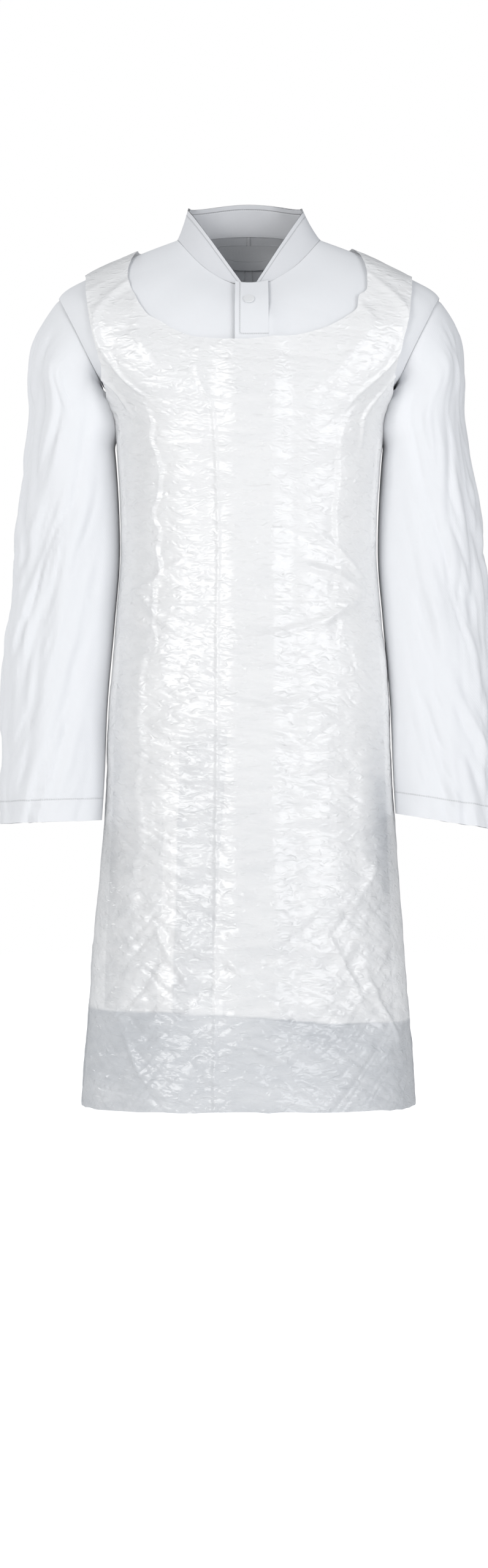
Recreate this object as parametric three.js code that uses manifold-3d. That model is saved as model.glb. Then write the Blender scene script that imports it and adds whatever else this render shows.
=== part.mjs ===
// A white laboratory coat as it is worn, with a clear disposable apron tied over it.
// Millimetres, +Z up, the wearer faces -Y and the wearer's left is +X.
// The origin is in the middle of the neck, level with the side of the neck seam.
import * as THREE from "three";
import { mergeVertices } from "three/addons/utils/BufferGeometryUtils.js";
import Module from "manifold-3d";

const wasm = await Module();
wasm.setup();
const mix = THREE.MathUtils.lerp;

// ---------------------------------------------------------------- driving dimensions

const cloth = 1.6; // a panel of coat cloth with its seam turnings pressed flat
const lining = 0.8; // a facing or a turned-up hem behind a panel
const film = 1.2; // apron film, as thick as its creases make it
const gap = 0.5; // between layers, and across every seam
const seam = 0.8; // width of the slit left between two panels

const hemHeight = -945; // bottom edge of the coat
const apronHemHeight = -1055; // bottom edge of the apron
const hemTurnUp = 25;
const cuffTurnUp = 27;

const placketLeft = 21; // the front flap's sewn edge, on the wearer's left
const placketRight = -17; // its free edge, past the middle
const placketRoom = 3.6; // space under the flap for the closed press studs
const overlapEdge = 16; // free edge of the right front, under the flap
const facingWidth = 45;
const tabBottom = -127; // where the top of the flap ends, above the apron

const studCount = 5;
const firstStud = -79;
const studPitch = 112;
const studRadius = 6;
const postRadius = 1.7;
const capRadius = 7;

const collarHeight = 38;
const collarLean = 14; // how far the top edge stands in from the seam
const collarPly = 1.0;
const interlining = 0.6;
const collarCorner = { x: 73, z: 43 }; // where the front edge meets the top edge
const collarNotch = { x: 7, z: -55 };

const armholeTop = new THREE.Vector3(232, 0, -65);
const armholeBottom = new THREE.Vector3(171, 0, -187);
const headEnd = -205; // the sleeve head, which folds at the shoulder, ends here
const elbowTop = -340; // the cloth between these two heights folds with the elbow
const elbowBottom = -460;
const cuffHeight = -706;

const filmRoom = 2.3; // between the flap over the press studs and the apron
const filmStandOff = placketRoom + cloth + filmRoom; // inside of the apron above the coat
const skirtFlare = 18; // how much further the apron hangs off at its bottom edge
const skirtFlareFrom = -600;
const neckholeInner = 130; // the apron's shoulder strap, measured along the shoulder
const neckholeOuter = 195;
const neckholeFront = -132; // lowest point of the apron's neckline
const waistTop = -400; // the tied waist of the apron, which folds when the skirt lifts
const waistBottom = waistTop - 60;
const waistWrap = 20; // degrees that the apron's waist reaches behind the side
const skirtWrap = 4; // and its skirt, which hangs clear of the coat as it lifts
const tieHeight = waistTop - 28;
const tieWidth = 26;
const tailLength = 170;

// ---------------------------------------------------------------- the coat's body form

// Horizontal sections of the worn coat, from the neck seam down: half the width, the depth in front
// and behind, the height at the side, front and back, and how square the section is.
const stations = [
  { w: 88, f: 70, b: 60, side: 8, front: -56, back: 22, square: 2.1 }, // neck seam
  { w: 136, f: 92, b: 84, side: -11, front: -81, back: 2, square: 2.2 },
  { w: 192, f: 107, b: 101, side: -38, front: -112, back: -34, square: 2.4 },
  { w: 233, f: 115, b: 110, side: -67, front: -143, back: -82, square: 2.6 }, // shoulder tip
  { w: 226, f: 119, b: 115, side: -118, front: -172, back: -126, square: 2.7 },
  { w: 168, f: 121, b: 116, side: -187, front: -208, back: -192, square: 2.7 }, // armpit
  { w: 155, f: 118, b: 110, side: -250, front: -257, back: -250, square: 2.6 },
  { w: 149, f: 108, b: 97, side: -370, front: -370, back: -370, square: 2.5 }, // waist
  { w: 155, f: 115, b: 108, side: -460, front: -460, back: -460, square: 2.5 },
  { w: 164, f: 124, b: 121, side: -570, front: -570, back: -570, square: 2.4 }, // hip
  { w: 167, f: 130, b: 129, side: -690, front: -690, back: -690, square: 2.4 },
  { w: 177, f: 138, b: 138, side: hemHeight, front: hemHeight, back: hemHeight, square: 2.3 },
  {
    w: 180, f: 141, b: 141, side: apronHemHeight, front: apronHemHeight,
    back: apronHemHeight, square: 2.3,
  },
];
const hemStation = stations.length - 2;
const lastStation = stations.length - 1;

// One value of the sections at a fractional station, on a smooth curve through its neighbours.
function sectionValue(key, v) {
  const i = Math.min(Math.floor(v), lastStation - 1);
  const t = v - i;
  const at = (k) => stations[Math.min(Math.max(k, 0), lastStation)][key];
  const [a, b, c, d] = [at(i - 1), at(i), at(i + 1), at(i + 2)];
  return 0.5 * (2 * b + (c - a) * t + (2 * a - 5 * b + 4 * c - d) * t * t
    + (3 * b - a - 3 * c + d) * t * t * t);
}

// A point of the coat's outer surface. The angle is in degrees: 0 is the wearer's left side,
// 90 the middle of the back and 270 the middle of the front.
function bodyPoint(angle, v) {
  const turn = THREE.MathUtils.degToRad(angle);
  const c = Math.cos(turn);
  const s = Math.sin(turn);
  const bend = 2 / sectionValue("square", v);
  const middle = s < 0 ? "front" : "back";
  const depth = sectionValue(s < 0 ? "f" : "b", v);
  return new THREE.Vector3(
    sectionValue("w", v) * Math.sign(c) * Math.abs(c) ** bend,
    depth * Math.sign(s) * Math.abs(s) ** bend,
    sectionValue("side", v) * c * c + sectionValue(middle, v) * s * s,
  );
}

// The outward normal there.
function bodyNormal(angle, v) {
  const low = Math.max(v - 0.02, 0);
  const high = Math.min(v + 0.02, lastStation);
  const across = bodyPoint(angle + 1.5, v).sub(bodyPoint(angle - 1.5, v));
  const down = bodyPoint(angle, high).sub(bodyPoint(angle, low));
  return down.cross(across).normalize();
}

function offBody(angle, v, distance) {
  return bodyPoint(angle, v).addScaledVector(bodyNormal(angle, v), distance);
}

// The station whose section has this value, for keys that only rise or only fall in that range.
function stationWhere(key, wanted, start = 0, end = lastStation) {
  let [low, high] = [start, end];
  const falling = sectionValue(key, high) < sectionValue(key, low);
  for (let k = 0; k < 40; k++) {
    const middle = (low + high) / 2;
    if ((sectionValue(key, middle) > wanted) === falling) low = middle;
    else high = middle;
  }
  return (low + high) / 2;
}

// ---------------------------------------------------------------- solids

function solidOf(geometry) {
  const bare = geometry.clone();
  bare.deleteAttribute("normal");
  bare.deleteAttribute("uv");
  const merged = mergeVertices(bare, 1e-3);
  return new wasm.Manifold(new wasm.Mesh({
    numProp: 3,
    vertProperties: merged.attributes.position.array,
    triVerts: new Uint32Array(merged.index.array),
  }));
}

function geometryOf(solid) {
  const mesh = solid.getMesh();
  return new THREE.BufferGeometry()
    .setAttribute("position", new THREE.BufferAttribute(mesh.vertProperties, 3))
    .setIndex(new THREE.BufferAttribute(mesh.triVerts, 1));
}

// A closed slab between two grids of points, rows by columns, that face each other.
// A ring grid closes on itself along its columns.
function slab(outer, inner, ring = false) {
  const rows = outer.length;
  const columns = outer[0].length;
  const points = [...outer.flat(), ...inner.flat()];
  const at = (side, r, c) => side * rows * columns + r * columns + (c % columns);
  const faces = [];
  const quad = (a, b, c, d) => faces.push(a, b, c, a, c, d);
  const last = ring ? columns : columns - 1;
  for (let r = 0; r < rows - 1; r++) {
    for (let c = 0; c < last; c++) {
      quad(at(0, r, c), at(0, r + 1, c), at(0, r + 1, c + 1), at(0, r, c + 1));
      quad(at(1, r, c), at(1, r, c + 1), at(1, r + 1, c + 1), at(1, r + 1, c));
    }
  }
  for (let c = 0; c < last; c++) {
    quad(at(0, 0, c), at(0, 0, c + 1), at(1, 0, c + 1), at(1, 0, c));
    quad(at(1, rows - 1, c), at(1, rows - 1, c + 1), at(0, rows - 1, c + 1), at(0, rows - 1, c));
  }
  for (let r = 0; !ring && r < rows - 1; r++) {
    quad(at(1, r, 0), at(1, r + 1, 0), at(0, r + 1, 0), at(0, r, 0));
    quad(at(0, r, last), at(0, r + 1, last), at(1, r + 1, last), at(1, r, last));
  }
  return new THREE.BufferGeometry()
    .setAttribute("position", new THREE.Float32BufferAttribute(points.flatMap((p) => p.toArray()), 3))
    .setIndex(faces);
}

const steps = (from, to, count) =>
  Array.from({ length: count + 1 }, (_, k) => from + ((to - from) * k) / count);

// A sheet on the body form, at these angles and stations (a list, or a function of the angle that
// gives one), with its inner and outer faces at these distances off the form.
function sheetOnBody({ angles, levels, inside, outside }) {
  const levelsAt = (angle) => (typeof levels === "function" ? levels(angle) : levels);
  const offAt = (distance, height) => (typeof distance === "function" ? distance(height) : distance);
  const face = (distance) => levelsAt(angles[0]).map((_, row) =>
    angles.map((angle) => {
      const v = levelsAt(angle)[row];
      return offBody(angle, v, offAt(distance, bodyPoint(angle, v).z));
    }));
  return slab(face(outside), face(inside));
}

// A block with its corners at two points, as a cutter.
function block(low, high) {
  const size = high.clone().sub(low);
  const box = new THREE.BoxGeometry(size.x, size.y, size.z);
  box.translate(...low.clone().add(high).multiplyScalar(0.5).toArray());
  return solidOf(box);
}

const far = 1500;
const between = (xLow, xHigh, zLow = -far, zHigh = far) =>
  block(new THREE.Vector3(xLow, -far, zLow), new THREE.Vector3(xHigh, far, zHigh));

// A prism seen from the front: an outline in X and Z, run through Y from yLow to yHigh.
function frontPrism(outline, yLow = -far, yHigh = far) {
  const shape = new THREE.Shape(outline.map(([x, z]) => new THREE.Vector2(x, z)));
  const prism = new THREE.ExtrudeGeometry(shape, { depth: yHigh - yLow, bevelEnabled: false });
  prism.rotateX(Math.PI / 2);
  prism.translate(0, yHigh, 0);
  return solidOf(prism);
}

// ---------------------------------------------------------------- assembly

const coat = new THREE.Group();
const finish = {
  cloth: { color: 0xf2f4f7, roughness: 0.85, metalness: 0 },
  facing: { color: 0xeceff3, roughness: 0.9, metalness: 0 },
  film: { color: 0xf4f6f5, roughness: 0.25, metalness: 0, transparent: true, opacity: 0.6 },
  stud: { color: 0xf1f2f3, roughness: 0.35, metalness: 0 },
};

function add(name, shape, kind) {
  const geometry = shape.isBufferGeometry ? shape : geometryOf(shape);
  const mesh = new THREE.Mesh(geometry, new THREE.MeshStandardMaterial(finish[kind]));
  mesh.name = name;
  coat.add(mesh);
  return mesh;
}

const sides = [{ name: "left", sign: 1 }, { name: "right", sign: -1 }];

// The flat of the armhole: its middle, the way up along it, and the way out of it.
const armholeMiddle = armholeTop.clone().add(armholeBottom).multiplyScalar(0.5);
const armholeUp = armholeTop.clone().sub(armholeBottom).normalize();
const armholeOut = new THREE.Vector3(armholeUp.z, 0, -armholeUp.x);
const armholeLean = Math.atan2(armholeUp.z, armholeUp.x);

// Everything past the armhole's flat on one side, less a margin on the body's side of it.
function pastArmhole(sign, margin) {
  const low = armholeBottom.clone().addScaledVector(armholeOut, -margin);
  const high = armholeTop.clone().addScaledVector(armholeOut, -margin);
  const head = high.clone().addScaledVector(armholeUp, 80);
  const outline = [low, head].map((p) => [sign * p.x, p.z]);
  outline.push([sign * 400, head.z], [sign * 400, low.z]);
  return frontPrism(sign > 0 ? outline.reverse() : outline);
}

const armholes = sides.map(({ sign }) => pastArmhole(sign, gap));

function lessArmholes(solid) {
  return armholes.reduce((rest, cutter) => rest.subtract(cutter), solid);
}

// ---------------------------------------------------------------- body panels

const halfSlit = 0.3; // degrees
const hemTop = stationWhere("side", hemHeight + hemTurnUp, 5);
const panelLevels = [...steps(0, 3, 6), ...steps(4, 10, 6), hemTop, hemStation];
const frontAngles = steps(180 + halfSlit, 360 - halfSlit, 20);
const backLeftAngles = steps(halfSlit, 90 - halfSlit, 10);
const backRightAngles = steps(90 + halfSlit, 180 - halfSlit, 10);

function addPanels() {
  const panel = (angles) => lessArmholes(solidOf(sheetOnBody(
    { angles, levels: panelLevels, inside: -cloth, outside: 0 })));
  const front = panel(frontAngles);
  add("front_left_panel", front.intersect(between(overlapEdge + seam, far)), "cloth");
  add("front_right_panel", front.intersect(between(-far, overlapEdge)), "cloth");
  add("back_left_panel", panel(backLeftAngles), "cloth");
  add("back_right_panel", panel(backRightAngles), "cloth");
}

// The facings behind the front edges, and the hem turned up inside the bottom edge.
function addFacingsAndHem() {
  const faces = { inside: -(cloth + gap + lining), outside: -(cloth + gap) };
  const rightEdge = overlapEdge - facingWidth;
  const leftEdge = overlapEdge + seam + facingWidth;
  const middle = solidOf(sheetOnBody(
    { ...faces, angles: frontAngles.slice(5, 16), levels: panelLevels }));
  add("left_facing", middle.intersect(between(overlapEdge + seam, leftEdge)), "facing");
  add("right_facing", middle.intersect(between(rightEdge, overlapEdge)), "facing");

  const band = (angles) => sheetOnBody({ ...faces, angles, levels: [hemTop, hemStation] });
  const front = solidOf(band(frontAngles));
  add("hem_front_left", front.intersect(between(leftEdge + seam, far)), "facing");
  add("hem_front_right", front.intersect(between(-far, rightEdge - seam)), "facing");
  add("hem_back", band([...backLeftAngles, ...backRightAngles]), "facing");
}

// The flap over the press studs. Its top part turns back when its stud is undone.
function addFlap() {
  const flap = solidOf(sheetOnBody({
    angles: frontAngles.slice(8, 13), levels: panelLevels,
    inside: placketRoom, outside: placketRoom + cloth,
  }));
  add("front_flap", flap.intersect(between(placketRight, placketLeft, -far, tabBottom - seam)), "cloth");
  add("throat_tab", flap.intersect(between(placketRight, placketLeft, tabBottom, far)), "cloth");
}

// ---------------------------------------------------------------- press studs

const aroundAxis = (points, segments) =>
  new THREE.LatheGeometry(points.map(([r, z]) => new THREE.Vector2(r, z)), segments)
    .rotateX(Math.PI / 2);

// The middle of the front panel's outer face at a height, and the normal there.
const frontLine = panelLevels.map((v) => bodyPoint(270, v));
function onFront(height) {
  const k = frontLine.findIndex((p) => p.z < height);
  const [high, low] = [frontLine[k - 1], frontLine[k]];
  const along = low.clone().sub(high).normalize();
  return {
    point: high.clone().lerp(low, (high.z - height) / (high.z - low.z)),
    normal: new THREE.Vector3(0, along.z, -along.y),
  };
}

// A turned piece placed on the front at a height, standing along the surface's normal.
function addOnFront(name, turned, height, kind) {
  const mesh = add(name, turned, kind);
  const { point, normal } = onFront(height);
  mesh.position.copy(point);
  mesh.quaternion.setFromUnitVectors(new THREE.Vector3(0, 0, 1), normal);
}

function addPressStuds() {
  const plate = 0.7;
  const baseTop = gap + plate;
  const postTop = placketRoom - 2 * gap;
  const socketLow = baseTop + gap;
  const socketTop = placketRoom - gap - 0.2; // the flap curves and the socket is flat
  const holeRadius = postRadius + gap;
  for (let k = 0; k < studCount; k++) {
    const height = firstStud - k * studPitch;
    addOnFront(`press_stud_${k + 1}`, aroundAxis([
      [0, gap], [studRadius, gap], [studRadius, baseTop], [postRadius, baseTop],
      [postRadius, postTop], [0, postTop],
    ], 12), height, "stud");
    addOnFront(`press_socket_${k + 1}`, aroundAxis([
      [holeRadius, socketLow], [studRadius, socketLow], [studRadius, socketTop],
      [holeRadius, socketTop], [holeRadius, socketLow],
    ], 12), height, "stud");
  }
  const capLow = placketRoom + cloth + gap;
  const capRim = 0.9;
  addOnFront("press_cap", aroundAxis([
    [0, capLow], [capRadius, capLow], [capRadius - 0.6, capLow + capRim], [0, capLow + 1.3 * capRim],
  ], 16), firstStud, "stud");
}

// ---------------------------------------------------------------- collar

// The space over the collar's front edges, which make a V as seen from the front.
function frontVee() {
  const { x, z } = collarCorner;
  return frontPrism([
    [-collarNotch.x, collarNotch.z - gap], [collarNotch.x, collarNotch.z - gap],
    [x, z], [x + 20, z + 30], [-x - 20, z + 30], [-x, z],
  ], -far, -4);
}

// Each ply stands on the neck seam, all the way round from one side of the middle to the other.
function addCollar() {
  const frontSlit = 3; // degrees
  const overSeam = gap + 1;
  const ply = (outerFace, thickness) => {
    const face = (inset) => steps(0, 1, 3).map((rise) =>
      steps(-90 + frontSlit, 270 - frontSlit, 30).map((angle) => {
        const out = bodyPoint(angle, 0);
        const flat = new THREE.Vector3(out.x, out.y, 0).normalize();
        return out.addScaledVector(flat, -(inset + collarLean * rise ** 0.8))
          .add(new THREE.Vector3(0, 0, overSeam + collarHeight * rise));
      }));
    return solidOf(slab(face(outerFace + thickness), face(outerFace))).subtract(frontVee());
  };
  add("collar_outer", ply(0, collarPly), "cloth");
  add("collar_interlining", ply(collarPly + gap, interlining), "facing");
  add("collar_inner", ply(collarPly + interlining + 2 * gap, collarPly), "cloth");
}

// The blank label, and the hanging loop in front of it, sewn inside the back of the neck.
function addLoopAndLabel() {
  const labelDepth = cloth + gap + lining;
  add("blank_label", sheetOnBody({
    angles: [...backLeftAngles.slice(9), ...backRightAngles.slice(0, 2)], levels: [0.5, 1, 1.5],
    inside: -labelDepth, outside: -(cloth + gap),
  }), "facing");
  const halfLoop = 26; // degrees
  const tape = 0.3; // of a station
  const drop = (angle) => 0.3 + 0.9 * (1 - ((angle - 90) / halfLoop) ** 2);
  add("hanging_loop", sheetOnBody({
    angles: steps(90 - halfLoop, 90 + halfLoop, 12),
    levels: (angle) => [drop(angle), drop(angle) + tape],
    inside: -(labelDepth + 2 * gap + lining), outside: -(labelDepth + 2 * gap),
  }), "facing");
}

// ---------------------------------------------------------------- sleeves and the apron's side

const flareAt = (height) => {
  const share = (skirtFlareFrom - height) / (skirtFlareFrom - apronHemHeight);
  return skirtFlare * Math.min(Math.max(share, 0), 1);
};
const apronInside = (height) => filmStandOff + flareAt(height);
const apronOutside = (height) => apronInside(height) + film;

// Sections of the left sleeve below the armhole: height, how far in front of the middle, half width,
// half depth, lean towards the shoulder in degrees, and the room between it and the apron's side.
const sleeveSections = [
  { z: mix(armholeMiddle.z, headEnd, 0.47), y: 0, w: 56, d: 73, lean: 38, room: -17 },
  { z: headEnd, y: 1, w: 48.5, d: 71, lean: 10, room: -0.5 },
  { z: mix(headEnd, elbowTop, 0.42), y: 3, w: 54, d: 68, lean: 2, room: 4 },
  { z: elbowTop, y: 4, w: 58, d: 64, lean: 0, room: 8.5 },
  { z: mix(elbowTop, elbowBottom, 0.5), y: 2, w: 61, d: 61, lean: 0, room: 8 },
  { z: elbowBottom, y: -3, w: 62, d: 58, lean: 0, room: 6 },
  { z: mix(elbowBottom, cuffHeight, 0.4), y: -13, w: 61, d: 54, lean: 0, room: 3 },
  { z: mix(elbowBottom, cuffHeight, 0.73), y: -24, w: 59, d: 50, lean: 0, room: 4 },
  { z: cuffHeight, y: -34, w: 59, d: 46, lean: 0, room: 3 },
];
for (const section of sleeveSections) {
  const side = sectionValue("w", stationWhere("side", section.z)) + apronOutside(section.z);
  section.x = side + section.room + section.w;
}
const headSection = 2; // counting the armhole itself as section 0
const elbowTopSection = 4;
const elbowBottomSection = 6;
const cuffSection = sleeveSections.length;
const sleeveColumns = 20;

// How far the body's surface is from the middle of the armhole, along its flat, at each column.
function armholeRadii() {
  const body = new THREE.Mesh(
    sheetOnBody({ angles: steps(-89, 89, 40), levels: steps(0, 8, 32), inside: -0.01, outside: 0 }),
    new THREE.MeshBasicMaterial({ side: THREE.DoubleSide }),
  );
  body.updateMatrixWorld(true);
  return steps(0, 2 * Math.PI, sleeveColumns).slice(0, -1).map((turn) => {
    const along = armholeUp.clone().multiplyScalar(Math.cos(turn + 1e-3));
    along.y = Math.sin(turn + 1e-3);
    const hits = new THREE.Raycaster(armholeMiddle, along.normalize()).intersectObject(body);
    if (hits.length === 0) throw new Error(`the armhole misses the body at ${turn}`);
    return hits[0].distance;
  });
}
const radii = armholeRadii();

// A ring of the left sleeve: section 0 is the armhole. Inset moves it towards the arm.
function sleeveRing(index, inset) {
  const i = Math.min(Math.max(Math.floor(index), 0), cuffSection);
  const t = index - i;
  const { x, y, z } = armholeMiddle;
  const armhole = { x, y, z, lean: THREE.MathUtils.radToDeg(armholeLean) };
  const at = (k) => (k <= 0 ? armhole : sleeveSections[Math.min(k, cuffSection) - 1]);
  const value = (key) => mix(at(i)[key], at(i + 1)[key], t);
  const lean = THREE.MathUtils.degToRad(value("lean"));
  const outward = new THREE.Vector3(Math.cos(lean), 0, Math.sin(lean));
  const middle = new THREE.Vector3(value("x"), value("y"), value("z"));
  return radii.map((radius, k) => {
    const turn = (2 * Math.PI * k) / sleeveColumns;
    const own = (section, along, size) => (section <= 0 ? radius * along : at(section)[size] * along);
    const across = mix(own(i, Math.cos(turn), "w"), own(i + 1, Math.cos(turn), "w"), t);
    const deep = mix(own(i, Math.sin(turn), "d"), own(i + 1, Math.sin(turn), "d"), t);
    const size = Math.hypot(across, deep);
    return middle.clone()
      .addScaledVector(outward, across * (1 - inset / size))
      .add(new THREE.Vector3(0, deep * (1 - inset / size), 0));
  });
}

// A stretch of sleeve tube between two sections, mirrored for the right arm.
function sleeveTube(sign, from, to, rows, inset, thickness) {
  const face = (depth) => steps(from, to, rows).map((index) =>
    sleeveRing(index, depth).map((p) => new THREE.Vector3(sign * p.x, p.y, p.z)));
  const [outer, inner] = [face(inset), face(inset + thickness)];
  return sign > 0 ? slab(outer, inner, true) : slab(inner, outer, true);
}

function addSleeves() {
  const slit = 0.008; // of a section's length, at each end of a stretch
  for (const { name, sign } of sides) {
    const stretch = (part, from, to, rows) =>
      add(`${name}_${part}`, sleeveTube(sign, from + slit, to - slit, rows, 0, cloth), "cloth");
    stretch("sleeve_head", 2 * slit, headSection, 4);
    stretch("upper_sleeve", headSection, elbowTopSection, 3);
    stretch("elbow", elbowTopSection, elbowBottomSection, 2);
    stretch("lower_sleeve", elbowBottomSection, cuffSection, 4);
    const last = Math.abs(cuffHeight - sleeveSections[cuffSection - 2].z);
    add(`${name}_cuff_fold`, sleeveTube(sign, cuffSection - cuffTurnUp / last,
      cuffSection - slit, 1, cloth + gap, lining), "facing");
  }
}

// ---------------------------------------------------------------- apron

function addApron() {
  const strapInner = stationWhere("w", neckholeInner, 0, 3);
  const strapOuter = stationWhere("w", neckholeOuter, 0, 3);
  const lowest = stationWhere("front", neckholeFront);
  const faces = { inside: apronInside, outside: apronOutside };
  const neckline = (angle) => {
    const towardsFront = Math.abs(Math.sin(THREE.MathUtils.degToRad(angle)));
    return mix(strapInner, lowest, towardsFront ** 1.5);
  };
  const level = (height) => stationWhere("side", height, 5);
  const slit = seam / 2;

  // The apron's own armholes stay inside the coat's, and reach a little lower.
  const cut = (sign) => {
    const side = armholeBottom.x - 15;
    const bottom = armholeBottom.z - 41;
    const outline = [
      [neckholeOuter + 14, 60], [neckholeOuter + 2, -48], [side, bottom + 16], [side, bottom],
      [500, bottom], [500, 60],
    ];
    const placed = outline.map(([x, z]) => [sign * x, z]);
    return frontPrism(sign > 0 ? placed : placed.reverse());
  };
  const bib = solidOf(sheetOnBody({
    ...faces, angles: frontAngles,
    levels: (angle) => steps(neckline(angle), level(waistTop + slit), 9),
  }));
  add("apron_bib", bib.subtract(cut(1)).subtract(cut(-1)), "film");
  add("apron_neck_loop", sheetOnBody({
    ...faces, angles: steps(2 * halfSlit, 180 - 2 * halfSlit, 16),
    levels: steps(strapInner, strapOuter, 2),
  }), "film");

  add("apron_waist", sheetOnBody({
    ...faces, angles: steps(180 - waistWrap, 360 + waistWrap, 22),
    levels: steps(level(waistTop - slit), level(waistBottom + slit), 2),
  }), "film");
  add("apron_skirt", sheetOnBody({
    ...faces, angles: steps(180 - skirtWrap, 360 + skirtWrap, 20),
    levels: steps(level(waistBottom - slit), lastStation, 7),
  }), "film");
}

// The film ties, which meet in a knot at the middle of the back and end in two tails.
function addTies() {
  const level = (height) => stationWhere("side", height, 5);
  const faces = { inside: filmStandOff, outside: filmStandOff + film };
  const band = { ...faces, levels: [level(tieHeight + tieWidth / 2), level(tieHeight - tieWidth / 2)] };
  const knotHalf = 7; // degrees of the back that the knot covers, to each side
  add("left_tie", sheetOnBody({ ...band, angles: steps(waistWrap + 1, 90 - knotHalf, 8) }), "film");
  add("right_tie", sheetOnBody({ ...band, angles: steps(90 + knotHalf, 179 - waistWrap, 8) }), "film");

  const knotRadius = 11;
  const knot = new THREE.SphereGeometry(knotRadius, 14, 8);
  knot.scale(0.95, 0.6, 1);
  const middle = offBody(90, level(tieHeight), filmStandOff + film + knotRadius * 0.6 + gap - 4);
  knot.translate(...middle.toArray());
  add("tie_knot", knot, "film");

  const tailTop = tieHeight - knotRadius - 3;
  const levels = steps(level(tailTop), level(tailTop - tailLength), 5);
  add("left_tie_tail", sheetOnBody({ ...faces, angles: steps(82, 89, 2), levels }), "film");
  add("right_tie_tail", sheetOnBody({ ...faces, angles: steps(91, 98, 2), levels }), "film");
}

addPanels();
addFacingsAndHem();
addFlap();
addPressStuds();
addCollar();
addLoopAndLabel();
addSleeves();
addApron();
addTies();

export default coat;
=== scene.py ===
"""A white laboratory coat under a clear disposable apron: cloth, film and a plain studio."""

import math

import bpy
import numpy as np
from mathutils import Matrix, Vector
from mathutils.bvhtree import BVHTree


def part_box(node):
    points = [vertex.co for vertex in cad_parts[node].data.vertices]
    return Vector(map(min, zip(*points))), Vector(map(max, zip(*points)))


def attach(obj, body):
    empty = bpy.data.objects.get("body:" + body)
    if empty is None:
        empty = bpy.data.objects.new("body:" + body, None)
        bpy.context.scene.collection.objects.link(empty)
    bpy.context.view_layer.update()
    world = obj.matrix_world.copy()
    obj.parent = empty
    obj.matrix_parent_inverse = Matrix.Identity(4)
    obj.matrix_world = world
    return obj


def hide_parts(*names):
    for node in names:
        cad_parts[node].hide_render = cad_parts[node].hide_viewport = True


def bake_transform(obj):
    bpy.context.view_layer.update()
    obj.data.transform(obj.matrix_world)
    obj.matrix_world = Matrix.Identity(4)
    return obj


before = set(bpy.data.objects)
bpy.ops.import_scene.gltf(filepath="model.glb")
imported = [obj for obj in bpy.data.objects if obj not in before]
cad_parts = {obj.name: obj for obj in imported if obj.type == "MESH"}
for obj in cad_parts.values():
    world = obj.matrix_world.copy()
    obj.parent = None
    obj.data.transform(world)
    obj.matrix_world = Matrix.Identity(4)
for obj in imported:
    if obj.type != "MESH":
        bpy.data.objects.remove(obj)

bl_info = {
    "name": "Lab coat and apron",
    "version": (1, 0, 0),
    "blender": (4, 5, 0),
    "location": "View3D > Sidebar > Lab coat",
    "description": "Builds a worn laboratory coat with a clear apron over it",
    "category": "Object",
}

MM = 0.001
HEM = -945 * MM
APRON_HEM = -1055 * MM
FLAP_EDGE = -17 * MM
FLAP_SEAM = 21 * MM
TAB_BOTTOM = -127 * MM
STRIP_EDGE = 0.046
GIRTH_RADIUS = 0.16
HALF_GIRTH = 0.5027
PER_DEGREE = 0.0029
ARMPIT = -0.228
WAIST_BOTTOM = -460 * MM
TIE_HEIGHT = -428 * MM
ARMHOLE = np.array([201.5, 0, -126]) * MM
ARMHOLE_OUT = np.array([0.8944, 0, -0.4472])
ARMHOLE_UP = np.array([0.4472, 0, 0.8944])


# ---------------------------------------------------------------- the worn coat's form

# Sections from the neck seam down, in millimetres: half the width, the depth in front and behind,
# the height at the side, front and back, and how square the section is.
KEYS = ("w", "f", "b", "side", "front", "back", "square")
STATIONS = np.array([
    (88, 70, 60, 8, -56, 22, 2.1),
    (136, 92, 84, -11, -81, 2, 2.2),
    (192, 107, 101, -38, -112, -34, 2.4),
    (233, 115, 110, -67, -143, -82, 2.6),
    (226, 119, 115, -118, -172, -126, 2.7),
    (168, 121, 116, -187, -208, -192, 2.7),
    (155, 118, 110, -250, -257, -250, 2.6),
    (149, 108, 97, -370, -370, -370, 2.5),
    (155, 115, 108, -460, -460, -460, 2.5),
    (164, 124, 121, -570, -570, -570, 2.4),
    (167, 130, 129, -690, -690, -690, 2.4),
    (177, 138, 138, -945, -945, -945, 2.3),
    (180, 141, 141, -1055, -1055, -1055, 2.3),
], float)
LAST = len(STATIONS) - 1
HEM_STATION = LAST - 1


def section(key, v):
    """One value of the sections at fractional stations, on a smooth curve through its neighbours."""
    v = np.asarray(v, float)
    i = np.clip(np.floor(v).astype(int), 0, LAST - 1)
    t = v - i
    column = STATIONS[:, KEYS.index(key)] * (1 if key == "square" else MM)
    a, b, c, d = (column[np.clip(i + k, 0, LAST)] for k in (-1, 0, 1, 2))
    cubic = (3 * b - a - 3 * c + d) * t
    return 0.5 * (2 * b + t * (c - a + t * (2 * a - 5 * b + 4 * c - d + cubic)))


def body(angle, v):
    """Points of the coat's outer surface. 0 degrees is the wearer's left side, 90 the back's middle."""
    turn = np.radians(angle)
    c, s = np.cos(turn), np.sin(turn)
    bend = 2 / section("square", v)
    ahead = s < 0
    depth = np.where(ahead, section("f", v), section("b", v))
    middle = np.where(ahead, section("front", v), section("back", v))
    x = section("w", v) * np.sign(c) * np.abs(c) ** bend
    y = depth * np.sign(s) * np.abs(s) ** bend
    z = section("side", v) * c * c + middle * s * s
    return np.stack(np.broadcast_arrays(x, y, z), -1)


def unit(vectors):
    """The same vectors, one long."""
    return vectors / np.maximum(np.linalg.norm(vectors, axis=-1, keepdims=True), 1e-12)


def outward(angle, v):
    """The outward normals of that surface."""
    low = np.clip(v - 0.02, 0, LAST)
    high = np.clip(v + 0.02, 0, LAST)
    across = body(angle + 1.5, v) - body(angle - 1.5, v)
    return unit(np.cross(body(angle, high) - body(angle, low), across))


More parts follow.
